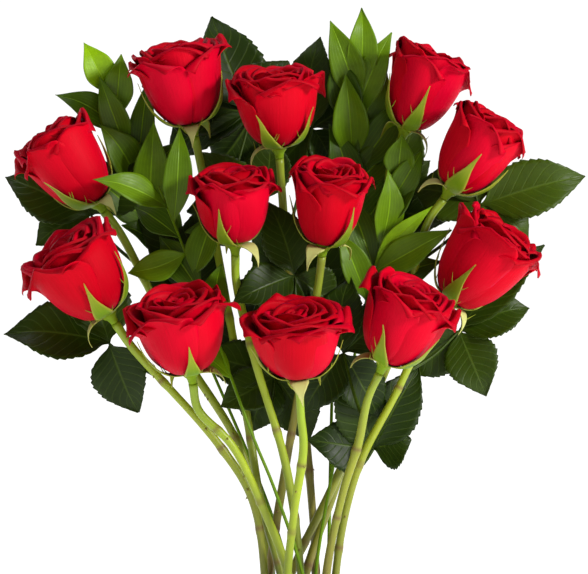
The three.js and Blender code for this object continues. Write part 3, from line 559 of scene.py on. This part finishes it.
# Rows of petals from the outside in. mid and edge: the way of a petal's middle and of its edges from the
# base to the rim, as [share of the bloom's radius, share of its height].
ROWS = [
    dict(count=5, half=53,
         mid=((.10, .00), (.37, .05), (.60, .23), (.72, .45), (.785, .67), (.82, .81), (.87, .89),
              (.925, .91), (.955, .89)),
         edge=((.10, .00), (.35, .05), (.56, .22), (.67, .41), (.72, .58), (.76, .71), (.82, .77),
               (.89, .77), (.92, .73))),
    dict(count=4, half=64,
         mid=((.09, .02), (.35, .08), (.56, .26), (.66, .49), (.70, .73), (.72, .87), (.76, .94),
              (.805, .955), (.83, .93)),
         edge=((.09, .02), (.33, .08), (.52, .25), (.61, .46), (.64, .65), (.67, .78), (.72, .84),
               (.77, .84), (.80, .80))),
    dict(count=4, half=64,
         mid=((.08, .04), (.31, .12), (.50, .31), (.57, .54), (.58, .78), (.60, .91), (.63, .965),
              (.67, .97), (.69, .95)),
         edge=((.08, .04), (.29, .12), (.46, .30), (.53, .52), (.54, .71), (.57, .83), (.61, .88),
               (.66, .88), (.68, .84))),
    dict(count=3, half=80,
         mid=((.07, .05), (.27, .15), (.42, .36), (.46, .58), (.455, .80), (.46, .92), (.49, .97),
              (.535, .975), (.56, .95)),
         edge=((.07, .05), (.25, .15), (.40, .35), (.43, .56), (.43, .75), (.45, .86), (.49, .90),
               (.54, .895), (.56, .87))),
    dict(count=3, half=80,
         mid=((.06, .07), (.23, .18), (.33, .40), (.36, .60), (.34, .81), (.33, .92), (.35, .965),
              (.39, .97)),
         edge=((.06, .07), (.22, .18), (.31, .39), (.33, .58), (.32, .76), (.33, .86), (.36, .90),
               (.40, .90))),
    dict(count=2, half=115,
         mid=((.05, .08), (.18, .22), (.24, .42), (.25, .62), (.22, .81), (.20, .91), (.21, .955),
              (.24, .96)),
         edge=((.05, .08), (.17, .22), (.23, .42), (.24, .60), (.21, .77), (.20, .86), (.22, .91),
               (.24, .91))),
    dict(count=2, half=120,
         mid=((.04, .10), (.12, .26), (.15, .44), (.15, .64), (.13, .80), (.11, .89), (.11, .94),
              (.13, .95)),
         edge=((.04, .10), (.11, .26), (.14, .44), (.14, .62), (.13, .78), (.12, .86), (.13, .91),
               (.14, .91))),
]
CURL_FROM = 5  # the control point where the rim starts to turn out
PETAL_ACROSS = 25
PETAL_ALONG = 30
# How wide a petal is along its length: base, quarter, half, three quarters, before the rim, rim.
PETAL_WIDTHS = ((0, .55), (.2, .84), (.5, 1.0), (.75, 1.0), (.9, .9), (1, .66))
OUTER_ROWS = 3  # the rows whose rims turn out
OVERLAP = 0.030  # how far one side of a petal stands off the next one, as a share of the radius
CUP = 0.07
RIPPLE_MM = 0.7
FINE_RIPPLE_MM = 0.14
DENT_MM = 0.45
PETAL_THICKNESS = 0.95  # at the base
PETAL_TAPER = 0.6  # how much thinner the rim is


def way(points, radius, height, opened):
    """A petal's way as [radius, height] in millimetres, its rim turned out by opened."""
    p = np.array(points)
    p[CURL_FROM + 1:] = p[CURL_FROM] + (p[CURL_FROM + 1:] - p[CURL_FROM]) * [opened, 1.0]
    return even(through(p * [radius, height], 8), PETAL_ALONG)


def petal(rose, row, azimuth, sharp, rng):
    """One petal as a grid of points in the bloom's own frame."""
    radius = rose["size"] * BLOOM_DIAMETER / 2
    height = rose["tall"] * BLOOM_DIAMETER
    outer = row < OUTER_ROWS
    data = ROWS[row]
    grow = 1 + rng.normal(0, 0.025)
    opened = rose["open"] * (1 + rng.normal(0, 0.22)) if outer else 1 + rng.normal(0, 0.1)
    mid = way(data["mid"], radius * grow, height * (1 + rng.normal(0, 0.02)), opened)
    edge = way(data["edge"], radius * grow, height * (1 + rng.normal(0, 0.02)), opened * (1 + 0.35 * sharp))
    u = np.linspace(-1, 1, PETAL_ACROSS)[:, None]
    v = np.linspace(0, 1, PETAL_ALONG)[None, :]
    lopsided = rng.uniform(-0.6, 0.6)
    blend = np.clip(np.abs(u) ** (2.4 - 1.1 * sharp) * (1 + lopsided * u), 0, 1.25)
    rho = mid[None, :, 0] * (1 - blend) + edge[None, :, 0] * blend
    z = mid[None, :, 1] * (1 - blend) + edge[None, :, 1] * blend
    width = np.interp(v, *np.array(PETAL_WIDTHS).T)
    width = width - 0.22 * sharp * smooth(v, 0.7, 1.0)
    half = math.radians(data["half"]) * (1 + rng.normal(0, 0.05))
    theta = math.radians(azimuth) + half * width * u + math.radians(rng.normal(0, 6)) * v
    # one side of each petal lies over its neighbour and the other under it
    rho = rho + (OVERLAP * radius) * u * smooth(v, 0.05, 0.5)
    # a shallow cup across, flat again at the rim
    rho = rho - CUP * radius * u ** 2 * np.sin(np.pi * np.clip(v * 1.15, 0, 1)) * (1 if outer else 0.4)
    # the sides of the rim roll back
    roll = (0.02 + 0.05 * sharp) * radius * smooth(np.abs(u), 0.6, 1.0) * smooth(v, 0.55, 0.9)
    rho = rho + roll * (1 if outer else 0.3)
    z = z + height * rng.normal(0, 0.05 if row < 2 else 0.02) * u * smooth(v, 0.4, 1.0)
    wave = rng.uniform(0, 2 * math.pi, 4)
    rim = smooth(v, 0.55, 1.0)
    ripple = np.sin(2.2 * u + wave[0]) * RIPPLE_MM + np.sin(5.3 * u + wave[1]) * FINE_RIPPLE_MM
    rho = rho + ripple * rim * (1.0 if outer else 0.45)
    z = z + (np.sin(2.8 * u + wave[2]) * RIPPLE_MM + np.sin(6.7 * u + wave[3]) * FINE_RIPPLE_MM) * rim
    dent = np.sin(3.0 * u + wave[1]) * np.sin(5.0 * v + wave[3]) * DENT_MM
    rho = rho + dent * smooth(v, 0.1, 0.4)
    # the small point in the middle of the rim
    z = z + (0.6 + 1.2 * sharp) * np.exp(-(u / 0.16) ** 2) * smooth(v, 0.86, 1.0)
    rho = np.maximum(rho, 0.5)
    return np.stack([rho * np.cos(theta), rho * np.sin(theta), z + 0 * rho], -1)


def heart(rose, rng):
    """The rolled innermost petal, as a spiral sheet."""
    radius = rose["size"] * BLOOM_DIAMETER / 2
    height = rose["tall"] * BLOOM_DIAMETER
    u = np.linspace(0, 1, 60)[:, None]
    v = np.linspace(0, 1, 12)[None, :]
    theta = rng.uniform(0, 2 * math.pi) + u * 2 * math.pi * 2.1
    rho = radius * (0.105 - 0.085 * u) * (0.75 + 0.25 * np.sin(np.pi * v)) + 0.25
    z = height * (0.45 + (0.47 - 0.05 * u) * v) + 0.5 * np.sin(9 * u) * v
    return np.stack([rho * np.cos(theta), rho * np.sin(theta), z], -1)


def bloom(key, rose, number):
    rng = np.random.default_rng(500 + number)
    parts = Parts()
    start = rng.uniform(0, 360)
    for row, data in enumerate(ROWS):
        for i in range(data["count"]):
            sharp = max(0.0, rng.normal(0.3, 0.25)) if row < OUTER_ROWS else 0.0
            azimuth = start + 360 * (i + 0.5 * row) / data["count"] + rng.normal(0, 5)
            if row == 0:
                azimuth, sharp = rose["guards"][i]
            elif row == 1:
                azimuth = rose["guards"][0][0] + 36 + 90 * i + rng.normal(0, 5)
            grid = petal(rose, row, azimuth, sharp, rng)
            v = np.linspace(0, 1, grid.shape[1])[None, :]
            thick = PETAL_THICKNESS - PETAL_TAPER * v
            points, faces, _ = skin(grid, thick)
            u = np.linspace(-1, 1, grid.shape[0])[:, None] + 0 * v
            values = np.stack([u, v + 0 * u, np.full(u.shape, rng.uniform())], -1).reshape(-1, 3)
            parts.add(seated(points, rose), faces, petal=np.tile(values, (2, 1)))
    grid = heart(rose, rng)
    points, faces, _ = skin(grid, 0.5)
    nu, nv = grid.shape[:2]
    u = np.linspace(-1, 1, nu)[:, None]
    v = np.linspace(0.2, 1, nv)[None, :]
    values = np.stack(np.broadcast_arrays(u, v, 0.5), -1)
    parts.add(seated(points, rose), faces, petal=np.tile(values.reshape(-1, 3), (2, 1)))
    return parts.build("rose_bloom_" + key, PETAL, ["bloom_" + key])


SEPALS = 5
SEPAL_ACROSS = 9
SEPAL_ALONG = 26
SEPAL_WIDTHS = ((0, .62), (.16, .92), (.34, 1), (.52, .70), (.68, .36), (.84, .15), (1, .03))


def sepal_way(rose, folds, rng):
    """The way of a sepal from the hip, as [radius, height] in millimetres."""
    radius = rose["size"] * BLOOM_DIAMETER / 2
    height = rose["tall"] * BLOOM_DIAMETER
    start = [(HIP_RADIUS * 0.62, -3.6), (HIP_RADIUS * 0.86, -1.9)]
    if folds:
        reach = rng.uniform(0.85, 1.1)
        return through(start + [(9.5, -0.9), (13.5 * reach, -1.6), (17.5 * reach, -4.8), (20 * reach, -9.5),
                                (20.5 * reach, -14)], 8)
    hug = [(.42 * radius + 1.0, .05 * height - 0.6), (.64 * radius + 1.0, .21 * height),
           (.75 * radius + 1.0, .40 * height)]
    flare = rng.uniform(0.0, 2.6)
    tip = (.79 * radius + 1.0 + flare, .58 * height + rng.uniform(-4, 3))
    return through(start + hug + [tip], 8)


def calyx(key, rose, number):
    rng = np.random.default_rng(900 + number)
    parts = Parts()
    neck = STEM_DIAMETER / 2
    profile = [(0, -HIP_HEIGHT - GAP), (neck * 0.98, -HIP_HEIGHT), (neck * 1.04, -HIP_HEIGHT * 0.8),
               (neck * 1.22, -HIP_HEIGHT * 0.58), (HIP_RADIUS * 0.80, -HIP_HEIGHT * 0.40),
               (HIP_RADIUS * 0.90, -HIP_HEIGHT * 0.24), (HIP_RADIUS * 0.86, -HIP_HEIGHT * 0.08), (0, 0.4)]
    points, faces = lathe(profile, 20)
    flat = np.zeros((len(points), 3))
    flat[:, 1] = 0.1
    flat[:, 2] = 0.5
    parts.add(seated(points, rose), faces, leaf=flat, side=(1.0, 0.0, 0.0))
    for i in range(SEPALS):
        angle = math.radians(180 / SEPALS * (2 * i + 0.5) + rose["turn"])
        folds = (i + number) % 3 == 0
        line = even(sepal_way(rose, folds, rng), SEPAL_ALONG)
        wide = rng.uniform(10.0, 13.5)
        u = np.linspace(-1, 1, SEPAL_ACROSS)[:, None]
        v = np.linspace(0, 1, SEPAL_ALONG)[None, :]
        half = wide / 2 * np.interp(v, *np.array(SEPAL_WIDTHS).T)
        rho, z = line[None, :, 0], line[None, :, 1]
        across = half * u
        drift = rng.normal(0, 0.10) * v ** 2
        theta = angle + drift + across / np.maximum(rho, 5.5)
        cup = 0.16 * half * u ** 2
        lift = rng.normal(0, 0.8) * u * smooth(v, 0.3, 1.0) * half / 4
        rho = rho + (cup if folds else -0.3 * cup) + lift
        grid = np.stack([rho * np.cos(theta), rho * np.sin(theta), z + 0 * theta], -1)
        points, faces, top = skin(grid, 0.75 - 0.35 * v + 0 * u)
        values = np.stack(np.broadcast_arrays(u, v, rng.uniform()), -1).reshape(-1, 3)
        side = np.stack([top, np.full(len(top), 1.0 if folds else 0.2), np.zeros(len(top))], -1)
        parts.add(seated(points, rose), faces, leaf=np.tile(values, (2, 1)), side=side)
        for _ in range(int(rng.integers(1, 5))):
            at = int(rng.integers(6, 15))
            sign = rng.choice([-1, 1])
            root = grid[0 if sign < 0 else -1, at]
            outward = np.array([math.cos(angle), math.sin(angle), 0])
            sideways = np.array([-math.sin(angle), math.cos(angle), 0]) * sign
            run = rng.uniform(3.5, 7.5)
            s = np.linspace(0, 1, 8)[:, None]
            upward = np.array([0, 0, 1.0])
            curve = root + sideways * run * 0.55 * s + upward * run * 0.8 * s ** 1.3 + outward * s ** 2
            lobe_points, lobe_faces, _, _ = tube(curve, 0.42 - 0.34 * s[:, 0], 5)
            flat = np.zeros((len(lobe_points), 3))
            flat[:, 1] = 0.7
            parts.add(seated(lobe_points, rose), lobe_faces, leaf=flat, side=(1.0, 0.0, 0.0))
    return parts.build("rose_calyx_" + key, SEPAL, ["calyx_" + key])


STEM_POINTS = 150
STEM_SIDES = 16
PRICKLES = 5


def stem(key, rose, number):
    """The stem with its swollen nodes, and the small prickles left on it."""
    rng = np.random.default_rng(1300 + number)
    parts = Parts()
    line = even(stem_curve(rose), STEM_POINTS)
    along = np.linspace(0, 1, STEM_POINTS)
    radii = STEM_DIAMETER / 2 * (0.95 + 0.05 * np.sin(along * 23 + rng.uniform(0, 6)))
    mark = np.zeros(STEM_POINTS)
    for at in np.arange(rng.uniform(0.08, 0.16), 0.93, rng.uniform(0.13, 0.17)):
        bulge = np.exp(-((along - at) / 0.0075) ** 2)
        radii = radii * (1 + 0.16 * bulge)
        mark = np.maximum(mark, 0.8 * np.exp(-((along - at - 0.004) / 0.004) ** 2))
    radii = radii * (1 + 0.10 * smooth(along, 0.975, 1.0))
    points, faces, share, turn = tube(line, radii, STEM_SIDES)
    values = np.stack([share, turn, np.full(len(share), rose["tone"])], -1)
    ring = np.concatenate([mark.repeat(STEM_SIDES), [0, 0]])
    bark = np.stack([ring, np.full(len(ring), rng.uniform()), np.zeros(len(ring))], -1)
    parts.add(points, faces, stem=values, bark=bark)
    tangent, s, n = frames(line)
    for at in rng.uniform(0.42, 0.9, PRICKLES):
        i = int(at * (STEM_POINTS - 1))
        angle = rng.uniform(0, 2 * math.pi)
        out = s[i] * math.cos(angle) + n[i] * math.sin(angle)
        size = rng.uniform(1.6, 3.0)
        t = np.linspace(0, 1, 6)[:, None]
        curve = line[i] + out * (radii[i] - 0.6 + size * t) - tangent[i] * size * 0.45 * t ** 2
        thorn, thorn_faces, share, _ = tube(curve, 1.15 * (1 - t[:, 0]) ** 1.4 + 0.06, 8)
        values = np.stack([np.full(len(share), at), share, np.full(len(share), rose["tone"])], -1)
        bark = np.stack([0.3 + 0.6 * share, share, share], -1)
        parts.add(thorn, thorn_faces, stem=values, bark=bark)
    return parts.build("rose_stem_" + key, STEM, ["stem_" + key])


# ---------------------------------------------------------------- leaves

# A leaf's half width along its length, as (share of the length, share of the greatest half width).
ROSE_SHAPE = ((0, .02), (.05, .10), (.14, .52), (.28, .88), (.44, 1.0), (.62, .88), (.80, .53), (.92, .22),
              (1, 0))
RUSCUS_SHAPE = ((0, .05), (.07, .22), (.22, .68), (.42, 1.0), (.60, .90), (.78, .56), (.92, .2), (1, 0))
FRONT = np.array([0, -1, 0.35])  # the way that the upper sides of the leaves face
TEETH = 13  # teeth along each side of a rose leaflet
TOOTH_DEPTH = 0.075
TIP_DROOP = 0.06
SIDE_VEINS = 9
RUSCUS_FULLNESS = 1.28  # how much wider a ruscus leaf is than the width in the table


def blade(base, tip, width, shape, rng, teeth=0, arch=0.06, fold=0.25, count=(11, 57)):
    """A leaf from base to tip as a grid of points: folded along the midrib, arched, toothed or plain."""
    along = tip - base
    length = np.linalg.norm(along)
    side = unit(np.cross(along, FRONT))
    face = unit(np.cross(side, along))
    turn = rng.normal(0, 0.22)
    c, s = math.cos(turn), math.sin(turn)
    side, face = side * c + face * s, face * c - side * s
    u = np.linspace(-1, 1, count[0])[:, None]
    v = np.linspace(0, 1, count[1])[None, :]
    shape = np.array(shape)
    share = even(through(np.column_stack([shape, np.zeros(len(shape))]), 10), 400)
    half = width / 2 * np.maximum(np.interp(v, share[:, 0], share[:, 1]), 0.012)
    if teeth:
        saw = (v * teeth) % 1
        half = half * (1 - TOOTH_DEPTH * np.abs(u) ** 6 * saw * smooth(v, 0.05, 0.2))
    bend, _ = rng.normal(0, (0.035, 0.05)) * length
    spine = base + along * v[..., None]
    spine = spine + face * (4 * arch * length * v * (1 - v))[..., None]
    spine = spine - face * (TIP_DROOP * length * smooth(v, 0.6, 1.0) ** 2)[..., None]
    spine = spine + side * (bend * np.sin(np.pi * v))[..., None]
    wave = rng.uniform(0, 2 * math.pi)
    lift = half * (fold * np.abs(u) ** 1.3) + 0.035 * width * np.sin(9 * v + wave) * u * np.abs(u)
    if teeth:
        quilt = np.cos(2 * math.pi * (SIDE_VEINS * v - 2.4 * np.abs(u))) * np.abs(u) * (1 - np.abs(u) ** 4)
        lift = lift + 0.012 * width * quilt
    return spine + side * (half * u)[..., None] + face * lift[..., None]


def leaf_values(grid, top, share, chance):
    nu, nv = grid.shape[:2]
    u = np.linspace(-1, 1, nu)[:, None]
    v = np.linspace(0, 1, nv)[None, :]
    # the third value is the leaf's share of painted light, between its shaded and its lit green
    leaf = np.stack(np.broadcast_arrays(u, v, share), -1).reshape(-1, 3)
    side = np.stack([top, np.full(len(top), chance), np.zeros(len(top))], -1)
    return dict(leaf=np.tile(leaf, (2, 1)), side=side)


def passing(curve, height):
    """Where a curve that rises passes a height in grid steps, and its direction there."""
    i = int(np.argmax(curve[:, 2] >= VASE_HEIGHT + height * GRID))
    return curve[i], unit(curve[min(i + 1, len(curve) - 1)] - curve[i - 1])


def stalk(parts, curve, radii, sides=8):
    points, faces, share, _ = tube(curve, radii, sides)
    leaf = np.stack([np.full(len(share), 0.5), share, np.full(len(share), 0.6)], -1)
    side = np.tile([1.0, 0.5, 0.0], (len(share), 1))
    parts.add(points, faces, leaf=leaf, side=side)


def rose_leaf(key, data, number):
    stem_key, height, hub, wide, tips = data
    rng = np.random.default_rng(1700 + number)
    parts = Parts()
    point, tangent = passing(even(stem_curve(ROSES[stem_key]), 1200), height)
    middle = place(hub)
    away = middle - point
    away = unit(away - tangent * (away @ tangent))
    start = point + away * (STEM_DIAMETER / 2 - 0.4)
    sag = np.array([0, 0, -1.0]) * np.linalg.norm(middle - start) * 0.06
    stalk(parts, even(through([start, (start + middle) / 2 + sag, middle]), 14), np.linspace(1.25, 0.8, 14))
    # painted light and shade, drawn at random per spray and per leaflet: the share sets each leaflet
    # between the shaded dark green and the lit green
    share = rng.uniform(0.1, 0.75)
    for tip in tips:
        end = place(tip)
        width = wide * GRID * rng.uniform(0.96, 1.06)
        grid = blade(middle, end, width, ROSE_SHAPE, rng, teeth=TEETH, arch=rng.uniform(0.03, 0.07),
                     fold=rng.uniform(0.12, 0.28))
        v = np.linspace(0, 1, grid.shape[1])[None, :]
        u = np.linspace(-1, 1, grid.shape[0])[:, None]
        thick = 0.5 + 0.9 * np.exp(-(u / 0.14) ** 2) * (1 - 0.8 * v)
        points, faces, top = skin(grid, thick)
        light = np.clip(share + rng.normal(0, 0.12), 0, 1)
        parts.add(points, faces, **leaf_values(grid, top, light, rng.uniform()))
    return parts.build("rose_leaf_" + key + "_blades", ROSE_LEAF, ["rose_leaf_" + key])


def ruscus(key, data, number):
    bunch, via, tip, leaves = data
    rng = np.random.default_rng(2300 + number)
    parts = Parts()
    curve = even(through([*bunch_points(bunch, RUSCUS_STEM_DIAMETER), *map(place, via), place(tip)]), 1200)
    line = even(curve, 90)
    stalk(parts, line, np.linspace(RUSCUS_STEM_DIAMETER / 2, RUSCUS_STEM_DIAMETER / 4, 90), 10)
    # share: how lit the leaf looks, painted into its colour as light and shade
    for height, x, y, z, wide, share in leaves:
        point, _ = passing(curve, height)
        end = place((x, y, z))
        broad = wide * GRID * RUSCUS_FULLNESS
        grid = blade(point, end, broad, RUSCUS_SHAPE, rng, arch=rng.uniform(0.05, 0.09),
                     fold=rng.uniform(0.15, 0.4), count=(13, 30))
        v = np.linspace(0, 1, grid.shape[1])[None, :]
        points, faces, top = skin(grid, 0.8 - 0.4 * v)
        parts.add(points, faces, **leaf_values(grid, top, share, rng.uniform()))
    return parts.build("ruscus_" + key + "_sprig", RUSCUS_LEAF, ["ruscus_" + key])


# ---------------------------------------------------------------- vase and water

GLASS_SIDES = 96
WELL_RADIUS = VASE_FOOT_RADIUS - VASE_WALL - 3  # where the inside of the floor starts to curve up
BUNCHES = [r["bunch"] for r in ROSES.values()] + [r[0] for r in RUSCUS.values()]
NECK_RADIUS = PITCH * max(math.hypot(*b) for b in BUNCHES) + STEM_DIAMETER / 2 + NECK_CLEARANCE


def vase_inside():
    """The inside of the glass from the floor to the rim, as [radius, height]."""
    knots = [(VASE_FOOT_RADIUS - VASE_WALL, VASE_FLOOR, 0),
             (VASE_BELLY_RADIUS - VASE_WALL, VASE_HEIGHT * 0.4, 0),
             (NECK_RADIUS, VASE_HEIGHT * 0.86, 0), (NECK_RADIUS + VASE_RIM_FLARE, VASE_HEIGHT, 0)]
    return even(through(knots, 30)[:, :2], 60)


def vase():
    inside = vase_inside()
    outside = inside + [VASE_WALL, 0]
    outside[0] = [VASE_FOOT_RADIUS, VASE_WALL]
    foot = [(0, 1.6), (VASE_FOOT_RADIUS * 0.55, 1.4), (VASE_FOOT_RADIUS * 0.8, 0.3),
            (VASE_FOOT_RADIUS - 5, 0.0), (VASE_FOOT_RADIUS - 2, 0.3), (VASE_FOOT_RADIUS - 0.5, 1.6)]
    lip = [(outside[-1][0] - 0.4, VASE_HEIGHT - 0.4), (outside[-1][0] - 1.6, VASE_HEIGHT),
           (inside[-1][0] + 1.6, VASE_HEIGHT), (inside[-1][0] + 0.4, VASE_HEIGHT - 0.4)]
    well = [(WELL_RADIUS, VASE_FLOOR - 0.6), (0, VASE_FLOOR - 0.9)]
    profile = foot + [tuple(p) for p in outside[:-1]] + lip + [tuple(p) for p in inside[::-1][1:]] + well
    parts = Parts()
    points, faces = lathe(profile, GLASS_SIDES)
    parts.add(points, faces)
    return parts.build("vase_clear_glass", GLASS, ["vase"])


def water():
    """Water up to a little over half the vase, with the slight climb of its edge at the glass."""
    inside = vase_inside()
    wet = inside[inside[:, 1] < WATER_HEIGHT - 1]
    edge = np.interp(WATER_HEIGHT, inside[:, 1], inside[:, 0])
    profile = [(0, VASE_FLOOR - 1.0), (WELL_RADIUS, VASE_FLOOR - 0.7)]
    profile += [(r + WATER_SINK, z) for r, z in wet]
    profile += [(edge + WATER_SINK, WATER_HEIGHT + 1.2), (edge - 0.8, WATER_HEIGHT + 0.6),
                (edge - 2.2, WATER_HEIGHT + 0.1), (edge - 5, WATER_HEIGHT),
                (edge * 0.5, WATER_HEIGHT), (0, WATER_HEIGHT)]
    parts = Parts()
    points, faces = lathe(profile, GLASS_SIDES)
    parts.add(points, faces)
    return parts.build("vase_water_body", WATER)


for number, (key, rose) in enumerate(ROSES.items()):
    bloom(key, rose, number)
    calyx(key, rose, number)
    stem(key, rose, number)
for number, (key, data) in enumerate(ROSE_LEAVES.items()):
    rose_leaf(key, data, number)
for number, (key, data) in enumerate(RUSCUS.items()):
    ruscus(key, data, number)
vase()
water()

# ---------------------------------------------------------------- stage, lights and camera

FLOOR_RADIUS_M = 40.0
FLOOR_SIDES = 128
SKY_RADIUS_M = 60.0
SKY_GLOW = 1.05
ROOM_GLOW = 0.10
# Each light: name, place and the point it faces in metres, width in metres, watts, colour.
LIGHTS = (
    ("key_right", (2.1, -1.5, 1.35), (0, 0, 0.42), 0.6, 92, (1.0, 0.98, 0.97)),
    ("fill_left", (-1.9, -1.6, 0.9), (0, 0, 0.38), 1.4, 5, (1, 1, 1)),
    ("top", (-0.2, 0.2, 2.4), (0, 0, 0.4), 1.2, 16, (1, 1, 1)),
    ("back_left", (-1.4, 1.9, 1.2), (0, 0, 0.4), 1.2, 6, (1, 1, 1)),
)
CAMERA_M = (-0.002, -2.2, 0.3986)
FRAME_WIDTH_M = 0.3822
SENSOR_MM = 36


def put(name, data):
    obj = bpy.data.objects.new(name, data)
    bpy.context.scene.collection.objects.link(obj)
    return obj


def disc(name, radius, z, material):
    mesh = bpy.data.meshes.new(name)
    angle = np.linspace(0, 2 * math.pi, FLOOR_SIDES, endpoint=False)
    points = [(radius * math.cos(a), radius * math.sin(a), z) for a in angle]
    mesh.from_pydata(points, [], [list(range(FLOOR_SIDES))])
    mesh.materials.append(material)
    obj = put(name, mesh)


def dome(name, radius):
    """A white sky that only the camera and the glass see."""
    arc = [(radius * math.cos(t), radius * math.sin(t)) for t in np.linspace(-1.5, 1.5, 31)]
    points, groups = lathe([(0, -radius), *arc, (0, radius)], 64)
    mesh = bpy.data.meshes.new(name)
    faces = [tuple(int(k) for k in face) for group in groups for face in group]
    mesh.from_pydata([tuple(p) for p in points], [], faces)
    material = bpy.data.materials.new(name)
    material.use_nodes = True
    shader = material.node_tree.nodes["Principled BSDF"]
    shader.inputs["Base Color"].default_value = (0, 0, 0, 1)
    shader.inputs["Emission Color"].default_value = (1, 1, 1, 1)
    shader.inputs["Emission Strength"].default_value = SKY_GLOW
    mesh.materials.append(material)
    obj = put(name, mesh)
    obj.visible_diffuse = False
    obj.visible_shadow = False
    obj.visible_glossy = False


def softbox(name, at, target, size, watts, colour):
    data = bpy.data.lights.new(name, "AREA")
    data.shape = "DISK"
    data.size = size
    data.energy = watts
    data.color = colour
    obj = put(name, data)
    obj.location = at
    aim = np.array(target) - np.array(at)
    obj.rotation_mode = "QUATERNION"
    obj.rotation_quaternion = Vector(aim).to_track_quat("-Z", "Y")


disc("floor", FLOOR_RADIUS_M, 0.0, floor_material())
dome("sky_dome", SKY_RADIUS_M)
for light in LIGHTS:
    softbox(*light)

world = bpy.data.worlds.new("studio")
world.use_nodes = True
world.node_tree.nodes["Background"].inputs["Color"].default_value = (1, 1, 1, 1)
world.node_tree.nodes["Background"].inputs["Strength"].default_value = ROOM_GLOW
bpy.context.scene.world = world
bpy.context.scene.view_settings.view_transform = "Standard"

camera_data = bpy.data.cameras.new("camera")
camera_data.sensor_width = SENSOR_MM
camera_data.lens = SENSOR_MM * -CAMERA_M[1] / FRAME_WIDTH_M
camera = put("camera", camera_data)
camera.location = CAMERA_M
camera.rotation_euler = (math.pi / 2, 0, 0)
bpy.context.scene.camera = camera

bpy.context.view_layer.update()
